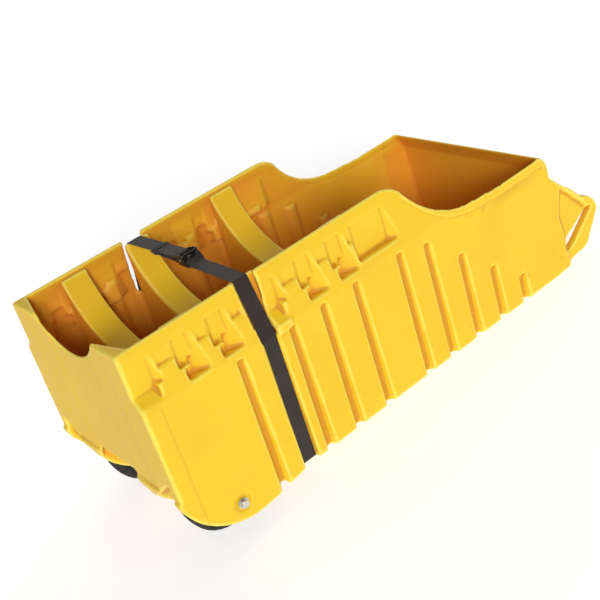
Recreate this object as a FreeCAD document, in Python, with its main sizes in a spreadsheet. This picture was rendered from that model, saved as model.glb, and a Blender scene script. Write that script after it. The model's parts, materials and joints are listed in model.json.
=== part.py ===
import FreeCAD, Part
import math
import os
import Sketcher
from FreeCAD import Placement, Rotation, Vector

# Drum dolly: a moulded tub on two wheels that carries one 55 gallon drum on its side over a sump.
# Tub frame: X from the wheel end to the handles, Y to the left of someone looking along +X,
# Z up from the flat of the floor.  Every piece then gets the tub's resting lean as its Placement.

SIZES = {
    # tub outline
    "end_wall_foot": 156.0, "rim_height": 631.0, "rim_half": 312.0, "rim_inner_half": 299.0,
    "rim_end": 930.0, "ledge_height": 450.0, "ledge_half": 347.0, "floor_half": 358.0,
    "well_rim_start": 1250.0, "well_rim_low": 437.0, "well_rim_end": 1590.0, "well_rim_height": 442.0,
    "end_lip": 1624.0, "end_lip_low": 352.0, "heel": 1645.0, "heel_skid": 60.0,
    "wall_thickness": 8.0, "cavity_half": 340.0,
    "corner_radius": 237.0, "corner_across": 222.0, "corner_up": 206.0, "skirt_rise": 420.0,
    # wheel bay
    "bay_length": 345.0, "bay_height": 200.0, "bay_half": 342.0, "web_middle": 150.0, "web_thickness": 10.0,
    "arch_depth": 22.0,
    # drum and its saddles
    "drum_radius": 286.0, "drum_axis_height": 699.0, "saddle_clearance": 2.0, "saddle_length": 90.0,
    "saddle_half": 290.0, "saddle_height": 622.0, "saddle_first": 200.0, "saddle_second": 436.0,
    "saddle_third": 775.0,
    # notch in the end wall
    "notch_radius": 215.0, "notch_bottom": 544.0, "notch_shoulder": 156.0,
    # side grooves
    "groove_width": 42.0, "groove_depth": 22.0, "groove_flat": 14.0,
    # shoulder pockets
    "pocket_floor": 316.0, "pocket_top": 595.0, "pocket_bottom": 506.0, "pocket_edge": 0.2,
    "pocket_flank": 1.28, "hole_bottom": 464.0, "hole_inset": 16.0, "hole_margin": 12.0,
    "throat_inset": 34.0, "throat_height": 16.0, "tongue_start": 2.0, "tongue_end": 30.0,
    "tongue_height": 7.0, "tongue_reach": 333.0, "step_floor": 321.0, "step_bottom": 543.0,
    "ramp_top": 494.0, "ramp_bottom": 459.0, "wide_bottom": 478.0, "drain_height": 8.0,
    "deep_floor": 308.0, "lug_start": 462.0, "lug_length": 52.0, "lug_bottom": 434.0,
    "lug_height": 27.0, "lug_reach": 354.0,
    # strap slot and channel
    "strap_centre": 431.0, "slot_length": 70.0, "slot_bottom": 434.0, "slot_kink": 565.0,
    "channel_length": 56.0, "channel_floor": 340.0, "under_channel": 4.0,
    # handles
    "handle_outer": 352.0, "handle_thickness": 30.0, "web_recess": 10.0,
    # axle and wheels
    "axle_across": 175.0, "axle_height": 33.0, "axle_radius": 10.0, "axle_half": 350.0,
    "fit_clearance": 0.05, "boss_radius": 32.0, "boss_floor": 352.0, "washer_radius": 17.0,
    "washer_thickness": 3.0, "bolt_flats": 24.0, "bolt_head": 10.0, "bolt_radius": 6.0,
    "bolt_length": 30.0, "bolt_bore": 36.0, "wheel_radius": 128.0, "wheel_width": 78.0,
    "wheel_middle": 219.0, "rim_seat_radius": 92.0, "hub_radius": 30.0, "hub_half": 40.0,
    "disc_half": 9.0, "bush_radius": 14.0, "bush_flange": 20.0, "bush_length": 26.0,
    "flange_thickness": 3.0, "spacer_radius": 15.0, "spacer_gap": 0.5,
    # strap and cam buckle
    "webbing_width": 50.0, "webbing_thickness": 2.0, "tail_end": 150.0, "buckle_end": -75.0,
    "anchor_height": 634.0, "anchor_radius": 4.0, "pin_across": -38.0, "pin_height": 637.0,
    "pin_radius": 3.0, "frame_plate": 2.0, "cheek_thickness": 2.5, "cheek_gap": 54.0,
    "lever_width": 46.0, "lever_length": 36.0, "lever_rise": 38.0, "cam_radius": 12.6,
    "cam_hub_radius": 8.0, "keeper_across": 118.0, "keeper_width": 16.0,
    "keeper_top": 637.0,
}

# centre of each side groove along X, and the height where it ends
GROOVES = [(321, 436), (511, 436), (631, 436), (760, 436), (941, 436),
           (1052, 411), (1175, 305), (1294, 196), (1411, 100)]
# where things start and end along X on the shoulder: pockets with a tongue over a deeper hole at their
# foot, pockets with a sloping foot that run out into the end wall or the strap slot, the long pocket,
# its drain slit, and the shallow steps under the rim
POCKETS = [(154, 210), (272, 328), (589, 645), (709, 765)]
OPEN_POCKETS = [(-20, 78), (450, 512)]
WIDE_POCKET = (806, 936)
DRAIN = (846, 906)
STEPS = [(98, 154), (230, 272), (348, 385), (532, 589), (665, 709), (785, 806)]

SIDES = {"left": 1, "right": -1}
# how far cutting sketches run past the faces that they cut
CLEAR = 20.0
PLANES = {"XY": "XY_Plane", "XZ": "XZ_Plane", "YZ": "YZ_Plane"}

doc = FreeCAD.newDocument("drum_dolly")
sheet = doc.addObject("Spreadsheet::Sheet", "Sizes")
for line, (alias, value) in enumerate(SIZES.items(), start=1):
    sheet.set("A%d" % line, alias)
    sheet.set("B%d" % line, str(value))
    sheet.setAlias("B%d" % line, alias)
doc.recompute()

pieces = []


def size(alias):
    return float(sheet.get(alias))


def bound(expression):
    """The sheet's names inside an expression, written as the document spells them."""
    for alias in sorted(SIZES, key=len, reverse=True):
        expression = expression.replace("<" + alias + ">", "Sizes." + alias)
    return expression


def body(name):
    made = doc.addObject("PartDesign::Body", name)
    made.Label = name
    pieces.append(made)
    return made


def sketch(owner, name, plane, offset="0"):
    """A sketch on one of the body's origin planes, offset along the plane's own normal."""
    made = owner.newObject("Sketcher::SketchObject", name)
    role = PLANES[plane]
    made.AttachmentSupport = ([f for f in owner.Origin.OriginFeatures if f.Role == role][0], "")
    made.MapMode = "FlatFace"
    # the XZ plane's normal points along -Y
    sign = "-1 * " if plane == "XZ" else ""
    made.setExpression("AttachmentOffset.Base.z", bound("%s(%s) * 1 mm" % (sign, offset)))
    return made


def outline(drawing, points):
    """A closed wire: each point is (u, v), or (middle, end) of an arc from the point before it."""
    def end_of(point):
        return point[1] if isinstance(point[0], tuple) else point
    start = end_of(points[-1])
    for point in points:
        stop = end_of(point)
        first, last = Vector(start[0], start[1], 0), Vector(stop[0], stop[1], 0)
        if (last - first).Length < 1e-6:
            continue
        if isinstance(point[0], tuple):
            middle = Vector(point[0][0], point[0][1], 0)
            drawing.addGeometry(Part.Arc(first, middle, last))
        else:
            drawing.addGeometry(Part.LineSegment(first, last))
        start = stop


def circle(drawing, u, v, radius):
    """A circle whose radius constraint is bound to the sheet."""
    index = drawing.addGeometry(Part.Circle(Vector(u, v, 0), Vector(0, 0, 1), 1.0))
    number = drawing.addConstraint(Sketcher.Constraint("Radius", index, 1.0))
    drawing.setExpression("Constraints[%d]" % number, bound("(%s) * 1 mm" % radius))


def prism(owner, kind, name, drawing, width):
    """A pad or pocket that reaches half of width to each side of its sketch."""
    made = owner.newObject("PartDesign::" + kind, name)
    made.Profile = drawing
    made.Midplane = True
    made.setExpression("Length", bound("(%s) * 1 mm" % width))
    return made


def shaped(owner, kind, name, plane, wires, width, offset):
    drawing = sketch(owner, name + "_outline", plane, offset)
    for points in wires:
        outline(drawing, points)
    return prism(owner, kind, name, drawing, width)


def pad(owner, name, plane, wires, width, offset="0"):
    return shaped(owner, "Pad", name, plane, wires, width, offset)


def pocket(owner, name, plane, wires, width, offset="0"):
    return shaped(owner, "Pocket", name, plane, wires, width, offset)


def round_prism(owner, kind, name, plane, centre, radii, width, offset="0"):
    drawing = sketch(owner, name + "_circles", plane, offset)
    for radius in radii:
        circle(drawing, centre[0], centre[1], radius)
    return prism(owner, kind, name, drawing, width)


def rectangle(u0, v0, u1, v1):
    return [(u0, v0), (u1, v0), (u1, v1), (u0, v1)]


def both_sides(points):
    """A Y-Z outline and its mirror image."""
    return [points, [(-u, v) for u, v in points]]


# ---------------------------------------------------------------- tub

def tub_outline():
    """The tub from the side, below the handles."""
    lean = math.tan(math.radians(lean_angle()))
    across, up, radius = size("corner_across"), size("corner_up"), size("corner_radius")
    diagonal = radius * math.sqrt(0.5)
    foot = size("end_wall_foot")
    # the end wall's foot steps down a little where the round corner starts
    step = 6
    corner_start = across - math.sqrt(radius ** 2 - (up - foot + step) ** 2)
    return [
        (0, foot),
        (0, size("rim_height")),
        (size("rim_end"), size("rim_height") + 3),
        ((984, 625), (1022, 600)),
        ((1085, 520), (size("well_rim_start"), size("ledge_height") - 2)),
        (1400, size("well_rim_low")),
        (size("well_rim_end"), size("well_rim_height")),
        ((1616, 418), (size("end_lip"), 383)),
        (size("end_lip"), size("end_lip_low")),
        (size("heel"), size("heel_skid") * lean),
        (size("heel") - size("heel_skid"), 0),
        (size("skirt_rise"), 0),
        (across + 60, up - radius + step),
        (across, up - radius),
        ((across - diagonal, up - diagonal), (corner_start, foot - step)),
    ]


def lean_angle():
    """The tub rests on its wheels and on the skid at its handle end."""
    along = size("heel") - size("heel_skid") - size("axle_across")
    reach = math.hypot(along, size("axle_height"))
    return math.degrees(math.asin(size("wheel_radius") / reach) - math.atan2(size("axle_height"), along))


def shell(tub):
    pad(tub, "blank", "XZ", [tub_outline()], "2 * <floor_half>")


def cavity(tub):
    wall = size("wall_thickness")
    bay_back = size("bay_length") + wall
    bay_top = size("bay_height") + wall
    pocket(tub, "sump", "XZ",
           [[(wall, bay_top), (bay_back, bay_top), (bay_back, wall), (size("heel") - wall, wall),
             (size("end_lip") - wall, 383), (size("well_rim_end") - 2, size("ledge_height")),
             (wall, size("ledge_height"))]], "2 * <cavity_half>")
    slope = [(size("rim_inner_half"), size("rim_height") + 50), (size("rim_inner_half"), size("rim_height")),
             (size("cavity_half"), size("ledge_height") - 1)]
    section = slope + [(-u, v) for u, v in reversed(slope)]
    pocket(tub, "drum_opening", "YZ", [section], "<well_rim_end> - 2 - 45", "(<well_rim_end> - 2 + 45) / 2")
    shoulder = size("notch_shoulder")
    half = size("rim_inner_half")
    pocket(tub, "corner_facets", "XY",
           [[(wall, -shoulder), (46, -half), (46, half), (wall, shoulder)]],
           "<rim_height> - <ledge_height> + 50", "(<rim_height> + <ledge_height> + 48) / 2")
    round_prism(tub, "Pocket", "end_notch", "YZ", (0, size("notch_bottom") + size("notch_radius")),
                ["<notch_radius>"], "90", "0")


def saddles(tub):
    wall = size("wall_thickness")
    half, top = size("saddle_half"), size("saddle_height")
    radius = size("drum_radius") + size("saddle_clearance")
    axis = size("drum_axis_height")
    for name, base in (("first", size("bay_height")), ("second", 0), ("third", 0)):
        block = rectangle(-half, base + wall - 1, half, top)
        pad(tub, "saddle_" + name, "YZ", [block], "<saddle_length>", "<saddle_%s>" % name)
    round_prism(tub, "Pocket", "drum_bed", "YZ", (0, axis), ["<drum_radius> + <saddle_clearance>"],
                "<rim_end> - 40", "<rim_end> / 2 + 30")
    inner = half - wall
    ear = axis - math.sqrt((radius + wall) ** 2 - inner ** 2)
    for name, base in (("first", size("bay_height")), ("second", 0), ("third", 0)):
        arch = [(-inner, base - 1), (-inner, ear), ((0, axis - radius - wall), (inner, ear)),
                (inner, base - 1)]
        pocket(tub, "saddle_hollow_" + name, "YZ", [arch], "<saddle_length> - 2 * <wall_thickness>",
               "<saddle_%s>" % name)


def wheel_bay(tub):
    wall, length, half = size("wall_thickness"), size("bay_length"), size("bay_half")
    web, thick = size("web_middle"), size("web_thickness") / 2
    pocket(tub, "bay", "XY",
           [rectangle(wall, web + thick, length, half), rectangle(wall, thick - web, length, web - thick),
            rectangle(wall, -half, length, -web - thick)], "<bay_height> + 80", "(<bay_height> - 80) / 2")
    pocket(tub, "bay_skirts", "XZ", [rectangle(length - 1, -60, size("skirt_rise") + 20, 0)], "2 * <bay_half>")
    foot = size("end_wall_foot")
    low = foot - 50
    behind = both_sides([(web, low), (332, low), (332, foot + 58), (web, foot + 58)])
    pad(tub, "arch_backs", "YZ", behind, "<arch_depth> + <wall_thickness>", "<arch_depth> / 2 + 6")
    below = low - CLEAR
    arch = [(web + 12, below), (322, below), (316, foot + 44), (300, foot + 40)]
    middle_arch = [(-132, below), (132, below), (104, foot + 10), (-104, foot + 10)]
    pocket(tub, "foot_arches", "YZ", both_sides(arch) + [middle_arch], "2 * <arch_depth>")
    centre = (size("axle_across"), size("axle_height"))
    for name, side in SIDES.items():
        round_prism(tub, "Pocket", "axle_boss_" + name, "XZ", centre, ["<boss_radius>"], str(CLEAR),
                    "%d * (<boss_floor> + %g)" % (side, CLEAR / 2))
    round_prism(tub, "Pocket", "axle_holes", "XZ", centre, ["<axle_radius> + <fit_clearance>"],
                "2 * <floor_half> + %g" % CLEAR)


def groove_section(across, side, spread, deep):
    """A groove's trapezoid seen from above, grown by spread and reaching deep into the wall."""
    half, flat = size("groove_width") / 2 + spread, size("groove_flat") / 2 + spread / 2
    face = size("floor_half") + 3 if spread == 0 else size("cavity_half") + 4
    floor = size("floor_half") - deep
    return [(across - half, side * face), (across - flat, side * floor),
            (across + flat, side * floor), (across + half, side * face)]


def side_grooves(tub):
    deep, wall = size("groove_depth"), size("wall_thickness")
    for top in sorted({top for across, top in GROOVES}):
        sump = [across for across, height in GROOVES if height == top and across > size("bay_length")]
        ribs = [groove_section(across, side, wall, deep + wall) for across in sump for side in (1, -1)]
        pad(tub, "ribs_%d" % top, "XY", ribs, str(top + wall - 4), str((top + wall + 4) / 2))
    across, top = GROOVES[0]
    skirt_ribs = [groove_section(across, side, wall, deep + wall) for side in (1, -1)]
    pad(tub, "skirt_ribs", "XY", skirt_ribs, str(top + wall + 6), str((top + wall - 6) / 2))
    for top in sorted({top for across, top in GROOVES}):
        cuts = [groove_section(across, side, 0, deep) for across, height in GROOVES if height == top
                for side in (1, -1)]
        pocket(tub, "grooves_%d" % top, "XY", cuts, str(top + 60), str((top - 60) / 2))


def both_walls(start, end, near, far, edge=0.0, flank=0.0):
    """A recess seen from above on each side wall; edge and flank are its ends' slopes outwards."""
    depth = far - near
    return [[(start, side * near), (end, side * near), (end + flank * depth, side * far),
             (start - edge * depth, side * far)] for side in (1, -1)]


def recess_list():
    """Every recess of the shoulders: name, spans along X, floor, bottom, top, and its ends' slopes."""
    floor, deep, top = size("pocket_floor"), size("deep_floor"), size("pocket_top")
    bottom, wide, margin = size("pocket_bottom"), size("wide_bottom"), size("hole_margin")
    edge, flank = size("pocket_edge"), size("pocket_flank")
    open_flanks = [(end - margin, end) for start, end in OPEN_POCKETS]
    holes = [(start + size("hole_inset"), end - margin) for start, end in POCKETS]
    throats = [(start + size("throat_inset"), end - margin) for start, end in POCKETS]
    return [("steps", STEPS, size("step_floor"), size("step_bottom"), top, edge, 0),
            ("pockets", POCKETS + open_flanks, floor, bottom, top, edge, flank),
            ("pocket_holes", holes, deep, size("hole_bottom"), bottom + 1, edge, flank),
            ("pocket_throats", throats, deep, bottom, bottom + size("throat_height"), 0, flank),
            ("wide_pocket", [WIDE_POCKET], floor, wide, top, edge, flank),
            ("drain", [DRAIN], deep, wide, wide + size("drain_height"), 0, 0)]


def back_up_recesses(tub):
    """Thickens the shoulders from inside wherever a recess will be cut."""
    wall, reach = size("wall_thickness"), size("cavity_half") + 4
    for name, spans, floor, low, high, edge, flank in recess_list():
        backing = []
        for start, end in spans:
            backing += both_walls(max(start - wall, 1), end + wall, floor - wall, reach, edge, flank)
        pad(tub, name + "_backing", "XY", backing, str(high - low + 2 * wall), str((high + low) / 2))
    low, high = size("ramp_bottom") - wall, size("pocket_top") + wall
    for number, (start, end) in enumerate(OPEN_POCKETS):
        block = both_walls(max(start - wall, 1), end + wall, size("pocket_floor") - wall, size("ledge_half"))
        pad(tub, "open_backing_%d" % number, "XY", block, str(high - low), str((high + low) / 2))


def shoulders(tub):
    """Trims the sides to the rim's draft above the ledge and to the slight draft below it."""
    top, far = size("rim_height") + 40, size("floor_half") + 30
    profile = [(size("rim_half"), top), (size("rim_half"), size("rim_height")),
               (size("ledge_half"), size("ledge_height")), (size("floor_half"), 0), (size("floor_half"), -60),
               (far, -60), (far, top)]
    pocket(tub, "shoulders", "YZ", both_sides(profile), "2 * <heel>")


def shoulder_pockets(tub):
    outside = size("ledge_half") + 5
    for name, spans, floor, low, high, edge, flank in recess_list():
        cuts = []
        for start, end in spans:
            cuts += both_walls(start, end, floor, outside, edge, flank)
        pocket(tub, name, "XY", cuts, str(high - low), str((high + low) / 2))
    floor, ramp = size("pocket_floor"), size("ramp_bottom")
    outside, above = size("floor_half") + 5, size("rim_height") + CLEAR
    section = [(floor, above), (floor, size("ramp_top")), (floor + size("ramp_top") - ramp, ramp),
               (outside, ramp), (outside, above)]
    for number, (start, end) in enumerate(OPEN_POCKETS):
        pocket(tub, "open_pocket_%d" % number, "YZ", both_sides(section), str(end - start),
               str((start + end) / 2))
    tongues = []
    for start, end in POCKETS:
        tongues += both_walls(start + size("tongue_start"), start + size("tongue_end"),
                              size("deep_floor") - 3, size("tongue_reach"))
    pad(tub, "pocket_tongues", "XY", tongues, "<tongue_height>", "<pocket_bottom> - <tongue_height> / 2")


def strap_way(tub):
    centre, floor, wall = size("strap_centre"), size("channel_floor"), size("wall_thickness")
    half, slot = size("channel_length") / 2, size("slot_length") / 2
    bottom, face = size("slot_bottom"), size("floor_half") + 5
    pad(tub, "channel_backing", "XY",
        both_walls(centre - half - wall, centre + half + wall, floor - wall - 1, floor + 3),
        "<slot_bottom> - 4", "(<slot_bottom> + 4) / 2")
    pocket(tub, "channels", "XY", both_walls(centre - half, centre + half, floor, face),
           "<slot_bottom> + 60", "(<slot_bottom> - 60) / 2")
    kink = size("slot_kink")
    opening = [(centre - half, bottom), (centre + half, bottom), (centre + slot, kink),
               (centre + slot, size("rim_height") + CLEAR), (centre - slot, size("rim_height") + CLEAR),
               (centre - slot, kink)]
    for name, side in SIDES.items():
        pocket(tub, "slot_" + name, "XZ", [opening], "70", "%d * 328" % side)
    pocket(tub, "under_channels", "XY", both_walls(centre - half, centre + half, 270, face),
           "2 * <under_channel>")
    lugs = both_walls(size("lug_start"), size("lug_start") + size("lug_length"), size("cavity_half") - 8,
                      size("lug_reach"))
    pad(tub, "strap_lugs", "XY", lugs, "<lug_height>", "<lug_bottom> + <lug_height> / 2")


def handle_outline():
    return [(1500, 420), (1624, 352), (1668, 306), (1712, 269), (1762, 214), ((1806, 190), (1826, 142)),
            (1797, 98), (1768, 61), ((1744, 34), (1704, 27)), (1668, 22), (1640, 10), (1500, 40)]


def handles(tub):
    for name, side in SIDES.items():
        place = "%d * (<handle_outer> - <handle_thickness> / 2)" % side
        pad(tub, "handle_" + name, "XZ", [handle_outline()], "<handle_thickness>", place)
        hole = [(1646, 98), ((1636, 72), (1660, 62)), (1690, 78), (1788, 152), ((1794, 164), (1780, 166)),
                (1716, 130)]
        pocket(tub, "hand_hole_" + name, "XZ", [hole], "<handle_thickness> + 40", place)
        recess = [(1660, 300), (1752, 200), (1778, 164), (1652, 76), (1632, 200)]
        pocket(tub, "handle_recess_" + name, "XZ", [recess], "<web_recess> * 2", "%d * <handle_outer>" % side)
    wall, lip = size("wall_thickness"), size("end_lip") - size("wall_thickness")
    rim_end, ledge = size("well_rim_end") - 2, size("ledge_height")
    inside = [(1480, wall), (size("heel") - wall, wall), (lip, 383), (rim_end, ledge), (1480, ledge)]
    pocket(tub, "sump_end", "XZ", [inside], "2 * <cavity_half> - 4")


def make_tub():
    tub = body("tub")
    shell(tub)
    cavity(tub)
    handles(tub)
    saddles(tub)
    wheel_bay(tub)
    side_grooves(tub)
    back_up_recesses(tub)
    shoulders(tub)
    shoulder_pockets(tub)
    strap_way(tub)


# ---------------------------------------------------------------- axle and wheels

def turned(name, rings, at):
    """A turned piece about a Y axis: rings of (kind, radii, width, offset from the middle)."""
    made = body(name)
    for number, (kind, radii, width, offset) in enumerate(rings):
        round_prism(made, kind, "%s_%d" % (name, number), "XZ", (0, 0), radii, width, offset)
    made.Placement = Placement(at, Rotation())
    return made


def axle_point(across):
    return Vector(size("axle_across"), across, size("axle_height"))


def make_axle():
    turned("axle", [("Pad", ["<axle_radius>"], "2 * <axle_half>", "0"),
                    ("Pocket", ["<bolt_radius> + <fit_clearance>"], "<bolt_bore> * 2", "<axle_half>"),
                    ("Pocket", ["<bolt_radius> + <fit_clearance>"], "<bolt_bore> * 2", "-1 * <axle_half>")],
           axle_point(0))
    for name, side in SIDES.items():
        start = size("boss_floor")
        middle = side * (start + size("washer_thickness") / 2)
        ring = ("Pad", ["<washer_radius>", "<bolt_radius> + 0.5"], "<washer_thickness>", "0")
        turned("axle_washer_" + name, [ring], axle_point(middle))
        make_bolt("axle_bolt_" + name, side, start + size("washer_thickness"))


def make_bolt(name, side, seat):
    bolt = body(name)
    corner = size("bolt_flats") / math.sqrt(3)
    hexagon = [(corner * math.cos(math.radians(60 * k)), corner * math.sin(math.radians(60 * k)))
               for k in range(6)]
    pad(bolt, name + "_head", "XZ", [hexagon], "<bolt_head>", "%d * <bolt_head> / 2" % side)
    round_prism(bolt, "Pad", name + "_shank", "XZ", (0, 0), ["<bolt_radius>"], "<bolt_length> + 2",
                "%d * (2 - <bolt_length>) / 2" % side)
    bolt.Placement = Placement(axle_point(side * seat), Rotation())


def make_tyre(name, middle):
    tyre = body(name)
    drawing = sketch(tyre, name + "_section", "YZ")
    half, seat, radius = size("wheel_width") / 2, size("rim_seat_radius"), size("wheel_radius")
    outline(drawing, [(-half + 9, seat), (half - 9, seat), ((half - 1, seat + 5), (half, seat + 14)),
                      ((half - 5, radius - 10), (half - 16, radius - 2)),
                      ((0, radius), (16 - half, radius - 2)),
                      ((5 - half, radius - 10), (-half, seat + 14)), ((1 - half, seat + 5), (9 - half, seat))])
    turn = tyre.newObject("PartDesign::Revolution", name + "_turn")
    turn.Profile = drawing
    turn.ReferenceAxis = (drawing, ["H_Axis"])
    turn.Angle = 360
    tyre.Placement = Placement(axle_point(middle), Rotation())


def make_wheel(name, side):
    middle = side * size("wheel_middle")
    make_tyre("tyre_" + name, middle)
    turned("wheel_hub_" + name,
           [("Pad", ["<rim_seat_radius> - <fit_clearance>", "<rim_seat_radius> - 9"], "<wheel_width> - 6", "0"),
            ("Pad", ["<rim_seat_radius> - 8", "<hub_radius> - 2"], "2 * <disc_half>", "0"),
            ("Pad", ["<hub_radius>", "<bush_radius> + <fit_clearance>"], "2 * <hub_half>", "0")],
           axle_point(middle))
    for label, way in (("outer", side), ("inner", -side)):
        turned("wheel_bush_%s_%s" % (label, name),
               [("Pad", ["<bush_radius>", "<axle_radius> + <fit_clearance>"], "<bush_length>",
                 "%d * -1 * <bush_length> / 2" % way),
                ("Pad", ["<bush_flange>", "<axle_radius> + <fit_clearance>"], "<flange_thickness>",
                 "%d * <flange_thickness> / 2" % way)],
               axle_point(middle + way * (size("hub_half") + 0.02)))
    outer_start = size("wheel_middle") + size("hub_half") + size("flange_thickness") + size("spacer_gap")
    inner_end = size("wheel_middle") - size("hub_half") - size("flange_thickness") - size("spacer_gap")
    web = size("web_middle") + size("web_thickness") / 2
    for label, low, high in (("outer", outer_start, size("bay_half")), ("inner", web, inner_end)):
        turned("axle_spacer_%s_%s" % (label, name),
               [("Pad", ["<spacer_radius>", "<axle_radius> + <fit_clearance>"], str(high - low), "0")],
               axle_point(side * (low + high) / 2))


# ---------------------------------------------------------------- strap and cam buckle

def offset_path(points, distance):
    """The path moved to its left by distance, with mitred corners."""
    moved = []
    for index, point in enumerate(points):
        normals = []
        for a, b in ((index - 1, index), (index, index + 1)):
            if a < 0 or b >= len(points):
                continue
            run = Vector(points[b][0] - points[a][0], points[b][1] - points[a][1], 0).normalize()
            normals.append(Vector(-run.y, run.x, 0))
        bisector = sum(normals[1:], normals[0]).normalize()
        reach = distance / bisector.dot(normals[0])
        moved.append((point[0] + bisector.x * reach, point[1] + bisector.y * reach))
    return moved


def strap_path():
    """The side of the webbing that touches the tub, from its loose tail right round to the buckle."""
    ear = size("saddle_half")
    top = size("saddle_height") + 0.05
    side, bottom = size("channel_floor") + 0.1, size("under_channel") - 0.1
    down = size("slot_bottom") + 2
    anchor_top = size("anchor_height") + size("anchor_radius") + 0.1
    return [(size("tail_end"), top), (-ear - 0.5, top), (-side, down), (-side, bottom), (side, bottom),
            (side, down), (ear + 0.5, top), (ear - 14, top), (0, anchor_top)]


def make_webbing():
    strap = body("strap_webbing")
    inside = strap_path()
    # the path runs clockwise seen from +X, so the webbing lies on its left
    outside = offset_path(inside, -size("webbing_thickness"))
    pad(strap, "webbing_run", "YZ", [inside + outside[::-1]], "<webbing_width>")
    round_prism(strap, "Pad", "webbing_loop", "YZ", (0, size("anchor_height")),
                ["<anchor_radius> + 0.1 + <webbing_thickness>", "<anchor_radius> + 0.1"], "<webbing_width>")
    strap.Placement = Placement(Vector(size("strap_centre"), 0, 0), Rotation())


def make_buckle():
    start = Vector(size("strap_centre"), 0, 0)
    thin, gap = size("cheek_thickness"), size("cheek_gap") / 2
    low = size("saddle_height") - size("frame_plate") - 0.3
    frame = body("buckle_frame")
    pad(frame, "frame_base", "XY", [rectangle(-gap - thin, size("buckle_end"), gap + thin, -22)],
        "<frame_plate>", "<saddle_height> - <frame_plate> / 2 - 0.3")
    cheek = [(size("buckle_end"), low), (9, low + 8), ((10, 634), (4, 642)), (-26, 650), ((-40, 653), (-52, 646)),
             (size("buckle_end"), low + 8)]
    for name, side in SIDES.items():
        pad(frame, "frame_cheek_" + name, "YZ", [cheek], "<cheek_thickness>",
            "%d * (<cheek_gap> + <cheek_thickness>) / 2" % side)
    round_prism(frame, "Pad", "anchor_bar", "YZ", (0, size("anchor_height")), ["<anchor_radius>"],
                "<cheek_gap> + 2 * <cheek_thickness>")
    round_prism(frame, "Pocket", "pin_holes", "YZ", (size("pin_across"), size("pin_height")),
                ["<pin_radius> + <fit_clearance>"], "<cheek_gap> + 20")
    frame.Placement = Placement(start, Rotation())

    pin = body("cam_pin")
    round_prism(pin, "Pad", "pin_shank", "YZ", (0, 0), ["<pin_radius>"], "<cheek_gap> + 2 * <cheek_thickness>")
    for name, side in SIDES.items():
        round_prism(pin, "Pad", "pin_head_" + name, "YZ", (0, 0), ["<pin_radius> + 1.5"], "1.5",
                    "%d * (<cheek_gap> / 2 + <cheek_thickness> + 0.75)" % side)
    pin.Placement = Placement(start + Vector(0, size("pin_across"), size("pin_height")), Rotation())
    make_lever(start)
    make_spring(start)
    make_keeper(start)


def make_keeper(start):
    """A loop round the doubled strap that holds its loose tail down."""
    keeper = body("tail_keeper")
    half, low, top = size("webbing_width") / 2, size("saddle_height"), size("keeper_top")
    pad(keeper, "keeper_band", "XZ", [rectangle(-half - 3, low - 2.5, half + 3, top)],
        "<keeper_width>", "<keeper_across>")
    pocket(keeper, "keeper_mouth", "XZ", [rectangle(-half - 1, low - 0.5, half + 1, top - 2)],
           "<keeper_width> + 2", "<keeper_across>")
    keeper.Placement = Placement(start, Rotation())


def make_lever(start):
    """A toothed cam on the pin with a thumb plate that stands up at an angle."""
    lever = body("cam_lever")
    reach, hub = size("cam_radius"), size("cam_hub_radius")
    first, last = math.radians(-88), math.radians(-30)
    teeth = 7
    tooth = []
    for k in range(2 * teeth + 1):
        angle = first + (last - first) * k / (2 * teeth)
        radius = reach if k % 2 else reach - 0.9
        tooth.append((radius * math.cos(angle), radius * math.sin(angle)))
    tilt = math.radians(size("lever_rise"))
    along = (-math.cos(tilt), math.sin(tilt))
    across = (math.sin(tilt), math.cos(tilt))
    thick = 1.6
    tip = size("lever_length")

    def plate(run, rise):
        return (along[0] * run + across[0] * rise, along[1] * run + across[1] * rise)

    points = tooth + [(hub, 0), (hub * 0.7, hub * 0.7), plate(2, hub), plate(hub, 2 * thick),
                      plate(tip, 2 * thick), plate(tip, 0), plate(hub, -thick), (-hub * 0.75, -hub * 0.5),
                      (-1.5, -hub)]
    pad(lever, "cam_profile", "YZ", [points], "<lever_width>")
    round_prism(lever, "Pocket", "cam_bore", "YZ", (0, 0), ["<pin_radius> + <fit_clearance>"],
                "<lever_width> + 2")
    pocket(lever, "spring_gap", "YZ", [rectangle(-14, -14, 14, 7.5)], "12")
    lever.Placement = Placement(start + Vector(0, size("pin_across"), size("pin_height")), Rotation())


def make_spring(start):
    """A torsion spring of square wire coiled on the pin, in the gap of the cam."""
    wire, coil, turns = 1.1, 4.2, 4
    pitch = 2.2
    height = pitch * turns
    helix = Part.makeHelix(pitch, height, coil)
    square = ((-1, -1), (1, -1), (1, 1), (-1, 1), (-1, -1))
    corners = [Vector(coil + u * wire / 2, 0, w * wire / 2) for u, w in square]
    shape = Part.Wire(helix.Edges).makePipeShell([Part.makePolygon(corners)], True, True)
    spring = doc.addObject("Part::Feature", "cam_spring")
    spring.Label = "cam_spring"
    spring.Shape = shape
    turn = Rotation(Vector(0, 1, 0), 90)
    place = start + Vector(-height / 2, size("pin_across"), size("pin_height"))
    spring.Placement = Placement(place, turn)
    pieces.append(spring)


# ---------------------------------------------------------------- assembly

make_tub()
make_axle()
for side_name, side_sign in SIDES.items():
    make_wheel(side_name, side_sign)
make_webbing()
make_buckle()
doc.recompute()

for item in doc.Objects:
    if "Invalid" in item.State or "Error" in item.State:
        raise RuntimeError("%s failed: %s" % (item.Name, item.State))
for piece in pieces:
    if piece.Shape.isNull() or not piece.Shape.isValid():
        raise RuntimeError("%s has no valid shape" % piece.Label)

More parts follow.
